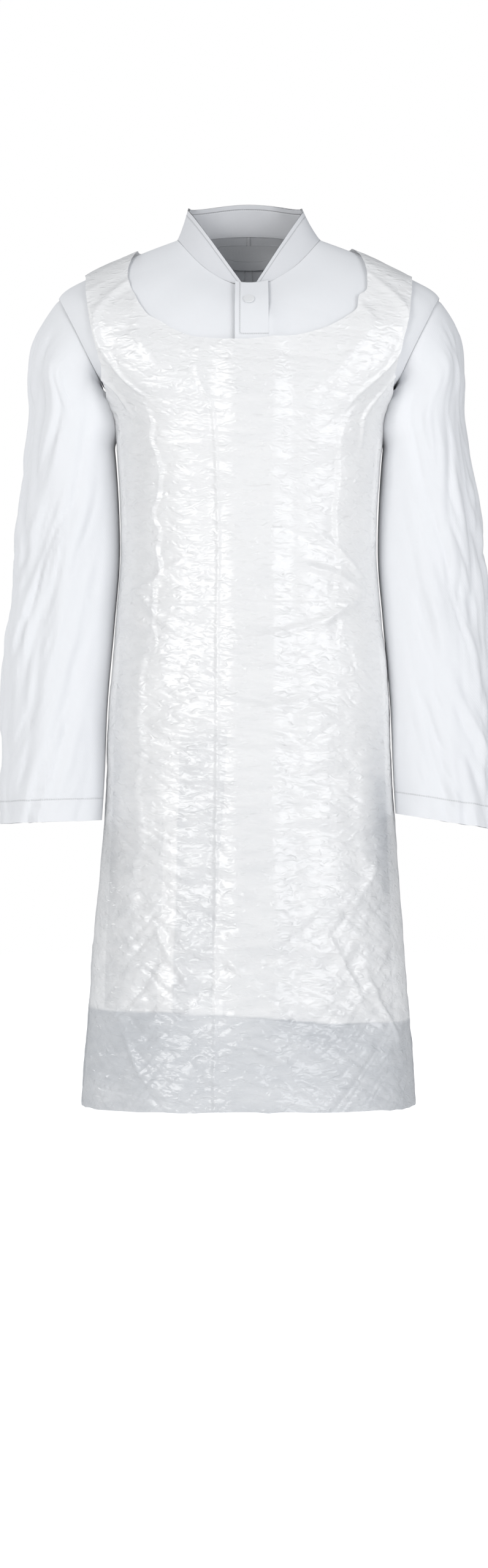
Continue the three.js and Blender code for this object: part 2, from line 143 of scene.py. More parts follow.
def off_body(angle, v, distance):
    """Points at a distance outside the coat."""
    distance = np.asarray(distance, float)
    return body(angle, v) + outward(angle, v) * distance[..., None]


def level(angle, height, low=0.0, high=float(LAST)):
    """The fractional station at which the surface has this height."""
    angle, height = np.broadcast_arrays(np.asarray(angle, float), np.asarray(height, float))
    low, high = np.full(angle.shape, low), np.full(angle.shape, high)
    for _ in range(26):
        middle = (low + high) / 2
        above = body(angle, middle)[..., 2] > height
        low, high = np.where(above, middle, low), np.where(above, high, middle)
    return low


def front_angle(x, v):
    """The angle at which the front of the surface has this x."""
    x, v = np.broadcast_arrays(np.asarray(x, float), np.asarray(v, float))
    share = np.clip(np.abs(x) / section("w", v), 0, 1) ** (section("square", v) / 2)
    return 360 - np.degrees(np.arccos(np.clip(np.sign(x) * share, -1, 1)))


# ---------------------------------------------------------------- shapes over a plane

def smooth(a, b, x):
    """0 below a, 1 above b and an easy curve between them."""
    t = np.clip((x - a) / (b - a), 0, 1)
    return t * t * (3 - 2 * t)


def mix(a, b, t):
    """From a to b."""
    return a + (b - a) * t


def noise(u, v, seed=0):
    """Smooth noise over a plane, from -1 to 1, one bump to a unit."""
    u, v = np.broadcast_arrays(np.asarray(u, float), np.asarray(v, float))
    iu, iv = np.floor(u).astype(np.int64), np.floor(v).astype(np.int64)
    fu, fv = u - iu, v - iv
    su, sv = fu * fu * (3 - 2 * fu), fv * fv * (3 - 2 * fv)

    def corner(i, j):
        h = (i * 374761393 + j * 668265263 + seed * 1442695041) & 0xFFFFFFFF
        h = ((h ^ (h >> 13)) * 1274126177) & 0xFFFFFFFF
        return ((h ^ (h >> 16)) & 0xFFFF) / 32767.5 - 1

    top = mix(corner(iu, iv), corner(iu + 1, iv), su)
    bottom = mix(corner(iu, iv + 1), corner(iu + 1, iv + 1), su)
    return mix(top, bottom, sv)


def crumple(u, v, seed=0, octaves=3):
    """Sharp creases between flat facets, from 0 in a crease to about 1."""
    total = 0
    share = 1.0
    for k in range(octaves):
        wu = u + 0.45 * noise(0.8 * u + 7, 0.8 * v, seed + 31 + k)
        wv = v + 0.45 * noise(0.8 * u, 0.8 * v + 3, seed + 57 + k)
        total = total + share * np.abs(noise(wu, wv, seed + k))
        u, v, share = 1.9 * u + 5.2, 1.9 * v + 1.3, share * 0.5
    return total


def crease(x, z, x0, z0, x1, z1, width):
    """A soft ridge that wanders from one point to another, 1 along its middle."""
    x, z = x + 0.005 * noise(28 * x, 28 * z, 7), z + 0.005 * noise(28 * x, 28 * z, 8)
    dx, dz = x1 - x0, z1 - z0
    t = np.clip(((x - x0) * dx + (z - z0) * dz) / (dx * dx + dz * dz), 0, 1)
    away = np.hypot(x - x0 - t * dx, z - z0 - t * dz) / width
    return np.exp(-away * away) * np.clip(4 * np.minimum(t, 1 - t) + 0.15, 0, 1)


# ---------------------------------------------------------------- meshes

def grid_normals(points, wrap):
    """Normals of a grid of points whose rows run down and whose columns run anticlockwise from above."""
    down = np.gradient(points, axis=0)
    if wrap:
        across = np.roll(points, -1, 1) - np.roll(points, 1, 1)
    else:
        across = np.gradient(points, axis=1)
    return unit(np.cross(down, across))


def snap_to_edge(points, keep):
    """Moves the points just outside a cut onto it. keep is above 0 inside."""
    rows, cols = keep.shape
    best = np.full(keep.shape, -np.inf)
    moved = points.copy()
    for dr, dc in ((0, 1), (0, -1), (1, 0), (-1, 0), (1, 1), (1, -1), (-1, 1), (-1, -1)):
        r = np.clip(np.arange(rows) + dr, 0, rows - 1)
        c = np.clip(np.arange(cols) + dc, 0, cols - 1)
        near, place = keep[np.ix_(r, c)], points[np.ix_(r, c)]
        use = (keep < 0) & (near >= 0) & (near > best)
        t = near / np.maximum(near - keep, 1e-12)
        moved = np.where(use[..., None], place + (points - place) * t[..., None], moved)
        best = np.where(use, near, best)
    return moved


def grid_faces(rows, cols, wrap):
    """The quads of a grid, facing outwards."""
    index = np.arange(rows * cols).reshape(rows, cols)
    right = np.roll(index, -1, 1) if wrap else index[:, 1:]
    left = index if wrap else index[:, :-1]
    quads = np.stack([left[:-1], left[1:], right[1:], right[:-1]], -1)
    return quads.reshape(-1, 4)


def rim_quads(faces, shift):
    """Quads that join the open edges of one face of a sheet to those of the other."""
    edges = np.concatenate([faces[:, [k, (k + 1) % 4]] for k in range(4)])
    key = edges[:, 0] * (1 << 32) + edges[:, 1]
    back = edges[:, 1] * (1 << 32) + edges[:, 0]
    a, b = edges[~np.isin(key, back)].T
    return np.stack([b, a, a + shift, b + shift], -1)


def make_mesh(name, points, faces, material, values=None, normals=None):
    """A mesh object in the scene, with float values at its points."""
    mesh = bpy.data.meshes.new(name)
    mesh.from_pydata(points.tolist(), [], faces.tolist())
    mesh.materials.append(material)
    for key, value in (values or {}).items():
        mesh.attributes.new(key, "FLOAT", "POINT").data.foreach_set("value", value.astype(np.float32))
    mesh.shade_smooth()
    mesh.update()
    if normals is not None:
        mesh.normals_split_custom_set_from_vertices(normals.tolist())
    piece = bpy.data.objects.new(name, mesh)
    bpy.context.scene.collection.objects.link(piece)
    return piece


def cloth_grid(name, points, material, thickness=0, keep=None, wrap=False, values=None, normals=None):
    """A sheet on a grid of points: its outer face, and with a thickness its inner face and rim."""
    rows, cols = points.shape[:2]
    faces = grid_faces(rows, cols, wrap)
    if keep is not None:
        faces = faces[(keep.reshape(-1)[faces] >= 0).any(1)]
        points = snap_to_edge(points, keep)
    if normals is None:
        normals = grid_normals(points, wrap)
    used, faces = np.unique(faces, return_inverse=True)
    faces = faces.reshape(-1, 4)
    outer = points.reshape(-1, 3)[used]
    normals = normals.reshape(-1, 3)[used]
    values = {key: value.reshape(-1)[used] for key, value in (values or {}).items()}
    if thickness:
        count = len(outer)
        faces = np.concatenate([faces, faces[:, ::-1] + count, rim_quads(faces, count)])
        outer = np.concatenate([outer, outer - normals * thickness])
        normals = np.concatenate([normals, -normals])
        values = {key: np.tile(value, 2) for key, value in values.items()}
    return make_mesh(name, outer, faces, material, values, normals)


# ---------------------------------------------------------------- materials

def node_group(name, inputs, outputs):
    """An empty shared effect with its sockets, and its input and output nodes."""
    group = bpy.data.node_groups.new(name, "ShaderNodeTree")
    for label, kind, value in inputs:
        socket = group.interface.new_socket(label, in_out="INPUT", socket_type=kind)
        socket.default_value = value
    for label, kind in outputs:
        group.interface.new_socket(label, in_out="OUTPUT", socket_type=kind)
    return group, group.nodes.new("NodeGroupInput"), group.nodes.new("NodeGroupOutput")


def math_node(tree, operation, *inputs):
    """A math node whose inputs are sockets or numbers."""
    node = tree.nodes.new("ShaderNodeMath")
    node.operation = operation
    for k, value in enumerate(inputs):
        if isinstance(value, (int, float)):
            node.inputs[k].default_value = value
        else:
            tree.links.new(value, node.inputs[k])
    return node.outputs[0]


def bump_node(tree, height, strength, distance):
    """A bump whose height is a socket, with its depth in metres."""
    node = tree.nodes.new("ShaderNodeBump")
    node.inputs["Strength"].default_value = strength
    node.inputs["Distance"].default_value = distance
    tree.links.new(height, node.inputs["Height"])
    return node


def tone_node(tree, dark, light, share):
    """A colour from one tone to another by a socket's value."""
    node = tree.nodes.new("ShaderNodeMix")
    node.data_type = "RGBA"
    node.inputs["A"].default_value = (*dark, 1)
    node.inputs["B"].default_value = (*light, 1)
    tree.links.new(share, node.inputs["Factor"])
    return node.outputs["Result"]


def weave_group():
    """Plain woven cloth: fine threads both ways and an uneven surface."""
    group, start, end = node_group("Plain weave", [
        ("Thread", "NodeSocketFloat", 1500.0),
        ("Depth", "NodeSocketFloat", 1.0),
    ], [("Height", "NodeSocketFloat")])
    place = group.nodes.new("ShaderNodeTexCoord")
    split = group.nodes.new("ShaderNodeSeparateXYZ")
    group.links.new(place.outputs["Object"], split.inputs[0])
    sideways = math_node(group, "ADD", split.outputs["X"], split.outputs["Y"])
    warp = math_node(group, "SINE", math_node(group, "MULTIPLY", sideways, start.outputs["Thread"]))
    weft = math_node(group, "SINE", math_node(group, "MULTIPLY", split.outputs["Z"],
                                              start.outputs["Thread"]))
    slub = group.nodes.new("ShaderNodeTexNoise")
    slub.inputs["Scale"].default_value = 260
    slub.inputs["Detail"].default_value = 4
    group.links.new(place.outputs["Object"], slub.inputs["Vector"])
    threads = math_node(group, "MULTIPLY", warp, weft)
    uneven = math_node(group, "MULTIPLY_ADD", threads, 0.12, slub.outputs["Fac"])
    height = math_node(group, "MULTIPLY", uneven, start.outputs["Depth"])
    group.links.new(height, end.inputs["Height"])
    return group


def stitch_group():
    """A row of stitches at a set distance from an edge, which pulls the cloth in, with a painted shade
    along it.
    """
    group, start, end = node_group("Stitch row", [
        ("Distance", "NodeSocketFloat", 1.0),
        ("Along", "NodeSocketFloat", 0.0),
        ("Offset", "NodeSocketFloat", 0.025),
    ], [("Height", "NodeSocketFloat"), ("Shade", "NodeSocketFloat")])
    past = math_node(group, "SUBTRACT", start.outputs["Distance"], start.outputs["Offset"])
    away = math_node(group, "ABSOLUTE", past)
    line = group.nodes.new("ShaderNodeMapRange")
    line.interpolation_type = "SMOOTHSTEP"
    line.inputs["From Min"].default_value = 0.0
    line.inputs["From Max"].default_value = 0.0013
    line.inputs["To Min"].default_value = 1
    line.inputs["To Max"].default_value = 0
    group.links.new(away, line.inputs["Value"])
    step = math_node(group, "SINE", math_node(group, "MULTIPLY", start.outputs["Along"], 2400.0))
    dash = math_node(group, "MULTIPLY_ADD", step, 0.25, 0.75)
    shade = math_node(group, "MULTIPLY", line.outputs[0], dash)
    turned = group.nodes.new("ShaderNodeMapRange")
    turned.inputs["From Min"].default_value = -0.0008
    turned.inputs["From Max"].default_value = 0.0008
    turned.inputs["To Min"].default_value = 0.5
    turned.inputs["To Max"].default_value = 0
    group.links.new(past, turned.inputs["Value"])
    group.links.new(math_node(group, "SUBTRACT", turned.outputs[0], shade), end.inputs["Height"])
    group.links.new(shade, end.inputs["Shade"])
    return group


def material_with(name, color, roughness):
    """A new material with its Principled node."""
    material = bpy.data.materials.new(name)
    material.use_nodes = True
    shader = material.node_tree.nodes["Principled BSDF"]
    shader.inputs["Base Color"].default_value = (*color, 1)
    shader.inputs["Roughness"].default_value = roughness
    return material, shader


def value_of(tree, name):
    """The float value stored at a mesh's points."""
    node = tree.nodes.new("ShaderNodeAttribute")
    node.attribute_name = name
    return node.outputs["Fac"]


def group_node(tree, group, **values):
    """A shared effect placed in a material."""
    node = tree.nodes.new("ShaderNodeGroup")
    node.node_tree = group
    for label, value in values.items():
        if isinstance(value, (int, float)):
            node.inputs[label].default_value = value
        else:
            tree.links.new(value, node.inputs[label])
    return node


def cloth_material(name, color, groups, stitch_offset=0.025):
    """White cotton blend with its weave, rows of stitches and shade painted along them."""
    material, shader = material_with(name, color, 0.86)
    tree = material.node_tree
    weave = group_node(tree, groups["weave"])
    stitch = group_node(tree, groups["stitch"], Distance=value_of(tree, "edge"),
                        Along=value_of(tree, "run"), Offset=stitch_offset)
    fine = bump_node(tree, weave.outputs["Height"], 0.35, 0.0004)
    sewn = bump_node(tree, stitch.outputs["Height"], 0.8, 0.0009)
    tree.links.new(fine.outputs[0], sewn.inputs["Normal"])
    tree.links.new(sewn.outputs[0], shader.inputs["Normal"])
    # The stitch rows' shade is painted into the cloth's colour, up to about a seventh darker along them.
    share = math_node(tree, "MULTIPLY", stitch.outputs["Shade"], 0.5)
    tone = tone_node(tree, color, [0.72 * c for c in color], share)
    tree.links.new(tone, shader.inputs["Base Color"])
    shader.inputs["Sheen Weight"].default_value = 0.12
    shader.inputs["Sheen Roughness"].default_value = 0.5
    shader.inputs["Specular IOR Level"].default_value = 0.25
    return material


def film_group():
    """Fine crinkles of thin film, as a height."""
    group, start, end = node_group("Film crinkle", [
        ("Scale", "NodeSocketFloat", 90.0),
    ], [("Height", "NodeSocketFloat")])
    place = group.nodes.new("ShaderNodeTexCoord")
    stretch = group.nodes.new("ShaderNodeMapping")
    stretch.inputs["Scale"].default_value = (1, 1, 2.2)
    group.links.new(place.outputs["Object"], stretch.inputs["Vector"])
    creases = group.nodes.new("ShaderNodeTexNoise")
    creases.noise_type = "RIDGED_MULTIFRACTAL"
    creases.inputs["Detail"].default_value = 3
    creases.inputs["Distortion"].default_value = 0.6
    group.links.new(stretch.outputs[0], creases.inputs["Vector"])
    group.links.new(start.outputs["Scale"], creases.inputs["Scale"])
    group.links.new(creases.outputs["Fac"], end.inputs["Height"])
    return group


def film_material(groups, alpha, roughness):
    """Thin milky film with painted light and shade in its colour, from a dark grey-blue to white by a
    value at its points.
    """
    material, shader = material_with("Apron film", (0.9, 0.9, 0.9), roughness)
    tree = material.node_tree
    crinkle = group_node(tree, groups["film"])
    bump = bump_node(tree, crinkle.outputs["Height"], 0.5, 0.003)
    tree.links.new(bump.outputs[0], shader.inputs["Normal"])
    # Painted light and shade: the film is dark grey-blue where the value is low and white where it is
    # high.
    tone = tone_node(tree, (0.5, 0.525, 0.56), (1, 1, 1), value_of(tree, "painted_shading"))
    tree.links.new(tone, shader.inputs["Base Color"])
    shader.inputs["Alpha"].default_value = alpha
    shader.inputs["IOR"].default_value = 1.5
    shader.inputs["Specular IOR Level"].default_value = 0.7
    return material


def plastic_material():
    """The moulded plastic of the press studs."""
    material, shader = material_with("Stud plastic", (0.87, 0.88, 0.89), 0.32)
    tree = material.node_tree
    grain = tree.nodes.new("ShaderNodeTexNoise")
    grain.inputs["Scale"].default_value = 900
    bump = bump_node(tree, grain.outputs["Fac"], 0.1, 0.0002)
    tree.links.new(bump.outputs[0], shader.inputs["Normal"])
    shader.inputs["Coat Weight"].default_value = 0.3
    return material


# ---------------------------------------------------------------- the coat's surface

def girth(angle):
    """About how far round the coat a point is from the middle of the front, in metres."""
    return np.radians((np.asarray(angle) - 90) % 360 - 180) * GIRTH_RADIUS


def coat_folds(angle, z, strength):
    """How far the cloth stands off its form, in metres. The middle of the front stays flat."""
    s = girth(angle)
    flat = smooth(0.028, 0.07, np.abs(s)) * smooth(0.02, -0.08, z)
    low = smooth(-0.35, -0.8, z)
    back = smooth(0.3, 0.4, np.abs(s))
    hang = noise(9 * s + 0.8 * noise(3 * s, 3 * z, 5), 1.6 * z, 11) * mix(0.8, 2.4, low)
    fine = noise(24 * s, 4 * z, 12) * mix(0.4, 0.7, low)
    pull = crumple(8 * s + 4 * z, 7 * z - 5 * s, 13, 2) * 1.8
    waist = back * np.exp(-((z + 0.42) / 0.12) ** 2)
    pull = pull + waist * crumple(7 * s + 6 * z, 16 * z + 5 * s, 14, 2) * 2.2
    vent = back * low * np.cos(46 * s) * 3.0
    return flat * strength * (hang + fine + pull + vent) * MM


def flap_lift(x):
    """How far the left front stands off the right one, over the closed press studs."""
    return 4.4 * MM * (1 - smooth(0.024, STRIP_EDGE, x))


def left_edge(z):
    """Where the left front's free edge hangs."""
    return FLAP_EDGE - 14 * MM * smooth(-0.56, -0.95, z)


def right_edge(z):
    """Where the right front's edge hangs, under the flap and open below the last press stud."""
    return 16 * MM - 88 * MM * smooth(-0.53, -0.61, z)


def skirt_flare(z):
    """How much the film and the sleeves beside it spread below the hips, from 0 to about 1."""
    return np.clip((-0.6 - z) / 0.455, 0, 1)


def hem_height(s):
    """The coat's lower edge, a little uneven as it hangs."""
    return HEM + 0.012 - 0.017 * smooth(-0.11, 0.12, s) + 0.0015 * noise(14 * s, 0.5, 21)


def past_armhole(points):
    """How far inside the armhole's flat a point is. The sides below the armpit are inside it."""
    side = points * np.stack([np.sign(points[..., 0]), np.ones(points.shape[:2]),
                              np.ones(points.shape[:2])], -1)
    away = -(side - ARMHOLE) @ ARMHOLE_OUT
    return np.where(side[..., 2] < -0.19, 1.0, np.where(side[..., 0] < 0.1, 1.0, away))


def stitch_values(edge, run):
    """What the cloth's stitching follows: the distance to an edge and the way along it."""
    return {"edge": edge, "run": run}


def coat_point(angle, v, settings, lift=0.0):
    """Points of the coat's outer face as it is worn."""
    z = body(angle, v)[..., 2]
    return off_body(angle, v, coat_folds(angle, z, settings.fold_strength) + lift)


def front_grid(side, rows, narrow, wide):
    """Angles and stations of a front panel, evenly spaced along x near its free edge."""
    share = np.linspace(0, 1, rows)[:, None]
    v = share * HEM_STATION * np.ones((1, narrow + wide))
    z = body(270, v)[..., 2]
    edge = left_edge(z[:, :1]) if side > 0 else right_edge(z[:, :1])
    near = STRIP_EDGE if side > 0 else np.minimum(-STRIP_EDGE, edge - 0.03)
    turn = 360.0 if side > 0 else 180.0
    x = mix(edge, near, np.linspace(0, 1, narrow + 1)[None, :-1])
    inner = front_angle(x, v[:, :narrow])
    last = front_angle(near, v[:, :1])
    outer = mix(last, turn, np.linspace(0, 1, wide)[None])
    angle = np.concatenate([inner, outer], 1)
    bottom = level(angle[-1], hem_height(girth(angle[-1])), float(HEM_STATION) - 1)
    v = v * (1 + share ** 6 * (bottom / HEM_STATION - 1))
    return angle, v


def front_panel(side, settings, materials):
    """One front of the coat. The left one carries the flap over the press studs."""
    name = "left" if side > 0 else "right"
    angle, v = front_grid(side, 300, 30, 100)
    if side < 0:
        angle, v = angle[:, ::-1], v[:, ::-1]
    flat = body(angle, v)
    x, z = flat[..., 0], flat[..., 2]
    if side > 0:
        lift = flap_lift(x) * smooth(-0.02, -0.05, z - flat[0, 0, 2])
    else:
        lift = -0.9 * MM * smooth(-0.07, 0.0, x)
    points = coat_point(angle, v, settings, lift)
    from_hem = z - z[-1:]
    free = left_edge(z) if side > 0 else right_edge(z)
    from_edge = np.abs(x - free)
    edge = np.minimum(from_hem, from_edge if side < 0 else from_edge * 25 / 38)
    keep = past_armhole(flat)
    if side > 0:
        hole = np.minimum(FLAP_SEAM - x, z - TAB_BOTTOM)
        keep = np.where(hole > 0, -hole, keep)
    run = np.where(from_hem < from_edge, girth(angle), z)
    piece = cloth_grid(f"{name}_front", points, materials["cloth"], settings.cloth_thickness,
                       keep, values=stitch_values(edge, run))
    nodes = [f"front_{name}_panel", f"hem_front_{name}", f"{name}_facing"]
    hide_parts(*nodes, *(["front_flap"] if side > 0 else []))
    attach(piece, "coat_body")
    return piece


def throat_tab(settings, materials):
    """The top of the flap, which opens on its own above the apron."""
    rows, cols = 40, 16
    z = np.linspace(-0.0535, TAB_BOTTOM, rows)[:, None] * np.ones((1, cols))
    x = np.linspace(FLAP_EDGE, FLAP_SEAM + 0.0025, cols)[None] * np.ones((rows, 1))
    v = level(270.0, z)
    angle = front_angle(x, v)
    points = off_body(angle, v, 4.5 * MM + 0.25 * MM * smooth(0.018, 0.021, x))
    edge = np.minimum(np.abs(x - FLAP_EDGE), np.abs(z - TAB_BOTTOM)) + 0.019
    piece = cloth_grid("throat_tab_cloth", points, materials["cloth"], settings.cloth_thickness,
                       values=stitch_values(edge, z + x))
    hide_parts("throat_tab")
    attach(piece, "throat_flap")
    return piece


def back_panel(settings, materials):
    """The back of the coat, with its middle seam."""
    rows, cols = 300, 220
    angle = np.linspace(0, 180, cols)[None] * np.ones((rows, 1))
    share = np.linspace(0, 1, rows)[:, None]
    bottom = level(angle[-1], hem_height(girth(angle[-1])), float(HEM_STATION) - 1)
    v = share * HEM_STATION * (1 + share ** 6 * (bottom / HEM_STATION - 1))
    flat = body(angle, v)
    groove = -1.1 * MM * np.exp(-((angle - 90) / 0.8) ** 2)
    points = coat_point(angle, v, settings, groove)
    z = flat[..., 2]
    from_seam = np.abs(girth(angle) - np.sign(girth(angle)) * HALF_GIRTH) * 1.2
    edge = np.minimum(z - z[-1:], from_seam + 0.022)
    piece = cloth_grid("coat_back", points, materials["cloth"], settings.cloth_thickness,
                       past_armhole(flat), values=stitch_values(edge, girth(angle) + z))
    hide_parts("back_left_panel", "back_right_panel", "hem_back")
    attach(piece, "coat_body")
    return piece


def collar_piece(materials):
    """The standing collar, cut to a V in front, with one corner a little lower than the other."""
    cols, rows = 260, 24
    angle = np.linspace(-88.5, 268.5, cols)
    seam = body(angle, np.zeros(cols))
    flat = unit(seam * [1, 1, 0])

    def at(rise):
        lean = (13.5 + 9 * smooth(0.03, 0.08, seam[:, 0])) * MM * rise ** 0.8
        lean = lean + 0.8 * MM * noise(0.06 * angle, rise * 2, 4) * rise
        height = 39 * MM * rise * (1 - 0.05 * smooth(0.2, 0.9, np.sin(np.radians(angle))))
        return seam - flat * lean[..., None] + np.stack(
            [np.zeros(cols), np.zeros(cols), 0.6 * MM + height], -1)

    corner = np.where(seam[:, 0] > 0, 0.067, 0.074)
    low, high = np.zeros(cols), np.ones(cols)
    for _ in range(24):
        rise = (low + high) / 2
        p = at(rise)
        line = 0.007 + (p[:, 2] + 0.055) * (corner - 0.007) / 0.097
        out = (np.abs(p[:, 0]) < line) & (p[:, 1] < -0.004)
        low, high = np.where(out, low, rise), np.where(out, rise, high)
    top = np.where(high > 0.999, 1.0, low)
    points = np.stack([at(top * share) for share in np.linspace(1, 0, rows)])
    along = np.concatenate([[0], np.cumsum(np.linalg.norm(np.diff(points[0], axis=0), axis=1))])
    from_top = np.linalg.norm(points - points[:1], axis=-1)
    edge = np.minimum(from_top + 0.019, 1.0)
    values = stitch_values(edge, along[None] * np.ones((rows, 1)))
    piece = cloth_grid("collar_cloth", points, materials["collar"], 2.6 * MM, values=values)
    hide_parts("collar_outer", "collar_interlining", "collar_inner")
    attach(piece, "coat_body")
    return piece


def label_and_loop(materials):
    """The blank label and the hanging loop inside the back of the neck."""
    angle = np.linspace(72, 108, 30)[None] * np.ones((14, 1))
    v = np.linspace(0.5, 1.45, 14)[:, None] * np.ones((1, 30))
    label = cloth_grid("label_cloth", off_body(angle, v, np.full(v.shape, -2.6 * MM)),
                       materials["facing"], 0.4 * MM, values=stitch_values(1 + 0 * v, angle))
    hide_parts("blank_label")
    angle = np.linspace(64, 116, 40)[None] * np.ones((5, 1))
    drop = 0.3 + 0.9 * (1 - ((angle - 90) / 26) ** 2)
    v = drop + np.linspace(0, 0.3, 5)[:, None]
    loop = cloth_grid("loop_tape", off_body(angle, v, np.full(v.shape, -3.9 * MM)),
                      materials["facing"], 0.6 * MM, values=stitch_values(1 + 0 * v, angle))
    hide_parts("hanging_loop")
    for piece in (label, loop):
        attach(piece, "coat_body")


# ---------------------------------------------------------------- sleeves

# Sections of the left sleeve below the armhole, in millimetres and degrees: height, how far in front
# of the middle, half width, half depth, lean towards the shoulder, and the room beside the apron.
SLEEVE = np.array([
    (-163, 0, 56, 73, 38, -17),
    (-205, 1, 48.5, 71, 10, -0.5),
    (-261.7, 3, 54, 68, 2, 4),
    (-340, 4, 58, 64, 0, 8.5),
    (-400, 2, 61, 61, 0, 8),
    (-460, -3, 62, 58, 0, 6),
    (-558.4, -13, 61, 54, 0, 3),
    (-639.6, -24, 59, 50, 0, 4),
    (-706, -34, 59, 46, 0, 3),
], float)
SLEEVE_COLUMNS = 120


def sleeve_sections():
    """Each section's middle, half width, half depth and lean, starting with the armhole."""
    z = SLEEVE[:, 0] * MM
    flare = 18 * MM * skirt_flare(z)
    half = section("w", level(0.0, z))
    x = half + flare + (8.7 + SLEEVE[:, 5] + SLEEVE[:, 2]) * MM
    rows = np.stack([x, SLEEVE[:, 1] * MM, z, SLEEVE[:, 2] * MM, SLEEVE[:, 3] * MM,
                     np.radians(SLEEVE[:, 4])], -1)
    lean = math.atan2(ARMHOLE_UP[2], ARMHOLE_UP[0])
    return np.concatenate([[[*ARMHOLE, 0, 0, lean]], rows])


def armhole_radii():
    """How far the coat is from the middle of the armhole, along its flat, at each column."""
    angle = np.linspace(-89, 89, 120)[None] * np.ones((120, 1))
    v = np.linspace(0, 8, 120)[:, None] * np.ones((1, 120))
    faces = grid_faces(120, 120, False)
    tree = BVHTree.FromPolygons(body(angle, v).reshape(-1, 3).tolist(), faces.tolist())
    radii = []
    for turn in np.linspace(0, 2 * math.pi, SLEEVE_COLUMNS, endpoint=False):
        along = math.cos(turn + 1e-3) * ARMHOLE_UP + math.sin(turn + 1e-3) * np.array([0, 1, 0])
        hit = tree.ray_cast(Vector(ARMHOLE), Vector(along))
        if hit[3] is None:
            raise RuntimeError(f"the armhole misses the coat at {turn:.2f}")
        radii.append(hit[3])
    return np.array(radii)


def softened(points, reach):
    """A grid of points averaged along its rows' direction. Its first and last rows stay in place."""
    offsets = np.arange(-2 * reach, 2 * reach + 1)
    weights = np.exp(-0.5 * (offsets / reach) ** 2)
    pad = 2 * reach
    top = 2 * points[:1] - points[pad:0:-1]
    bottom = 2 * points[-1:] - points[-2:-pad - 2:-1]
    long = np.concatenate([top, points, bottom])
    rows = len(points)
    total = sum(w * long[k:k + rows] for k, w in enumerate(weights))
    return total / weights.sum()


def sleeve_folds(turn, z, side, strength):
    """How far a sleeve's cloth stands off its form: soft hanging folds, bends and crumples."""
    out = smooth(-0.85, -0.1, np.cos(turn))
    around, ahead = np.cos(turn), np.sin(turn)
    seed = 40 if side > 0 else 60
    hang = noise(1.7 * around + 4 * z, 1.2 * ahead + 3.0 * z, seed) * 2.0
    long = crumple(2.4 * around + 6 * z, 3.0 * ahead - 4 * z, seed + 1, 2) * 6.2
    bend = smooth(-0.25, -0.36, z) * smooth(-0.62, -0.45, z)
    elbow = crumple(1.6 * ahead + 2.6 * around, 13 * z + 2.6 * around, seed + 2, 2) * 5.5 * bend
    low = smooth(-0.5, -0.6, z) * smooth(-0.7, -0.67, z)
    cuff = crumple(2.5 * ahead - 2 * around, 20 * z + 3 * around, seed + 3, 2) * 4.5 * low
    cap = smooth(-0.32, -0.16, z)
    cap = cap * (crumple(1.5 * around + 5 * z, 8 * z + 3 * ahead, seed + 4, 2) * 4.0 - 4.0)
    fine = noise(9 * around + 10 * z, 26 * z + 7 * ahead, seed + 5) * 0.5
    return out * strength * (hang + long + elbow + cuff + cap + fine - 4.3) * MM


def sleeve_grid(side, settings):
    """Points of a whole sleeve, from the armhole to the cuff, and its middle's heights."""
    rows = 250
    table = sleeve_sections()
    index = np.linspace(0.0, len(table) - 1.0, rows)
    turn = np.linspace(0, 2 * math.pi, SLEEVE_COLUMNS, endpoint=False)[None]
    values = np.stack([np.interp(index, np.arange(len(table)), column) for column in table.T], -1)
    radii = armhole_radii()[None]
    start = np.clip(1 - index, 0, 1)[:, None]
    first = np.maximum(index, 1.0)
    wide = np.interp(first, np.arange(len(table)), table[:, 3])[:, None]
    deep = np.interp(first, np.arange(len(table)), table[:, 4])[:, None]
    across = mix(wide, radii, start) * np.cos(turn)
    deep = mix(deep, radii, start) * np.sin(turn)
    lean = values[:, 5:6]
    slant = -0.010 * smooth(-0.55, -0.706, values[:, 2:3]) * np.cos(turn) * (1 if side > 0 else 0.2)
    points = np.stack([values[:, 0:1] + across * np.cos(lean), values[:, 1:2] + deep,
                       values[:, 2:3] + across * np.sin(lean) + slant], -1)
    points = softened(points, 7)
    height = points[..., 2]
    beside = smooth(-0.15, -0.95, np.cos(turn))
    inmost = points[..., 0].argmin(1)[:, None]
    at = np.take_along_axis(height, inmost, 1)
    stand = mix(0.8, 9.4, smooth(-0.222, -0.25, at)) * MM
    stand = stand + 16 * MM * skirt_flare(at) ** 1.3
    near = np.take_along_axis(points[..., 0], inmost, 1) - section("w", level(0.0, at)) - stand
    near = np.clip(near, 0, 0.03) * smooth(-0.168, -0.19, at)
    wider = smooth(-0.4, -0.65, height) * 6 * MM * smooth(0.0, 1.0, np.cos(turn))
    tip = 9 * MM * np.exp(-((height + 0.138) / 0.03) ** 2) * smooth(0.2, 1.0, np.cos(turn))
    points[..., 0] += wider - tip - beside * near
    fade = smooth(0.0, 1.2, index)[:, None]
    folds = fade * sleeve_folds(turn, points[..., 2], side, settings.fold_strength)
    folds = folds - 1.3 * MM * np.exp(-(index[:, None] / 0.05) ** 2)
    points = points + grid_normals(points, True) * folds[..., None]
    return points, values[:, 2]


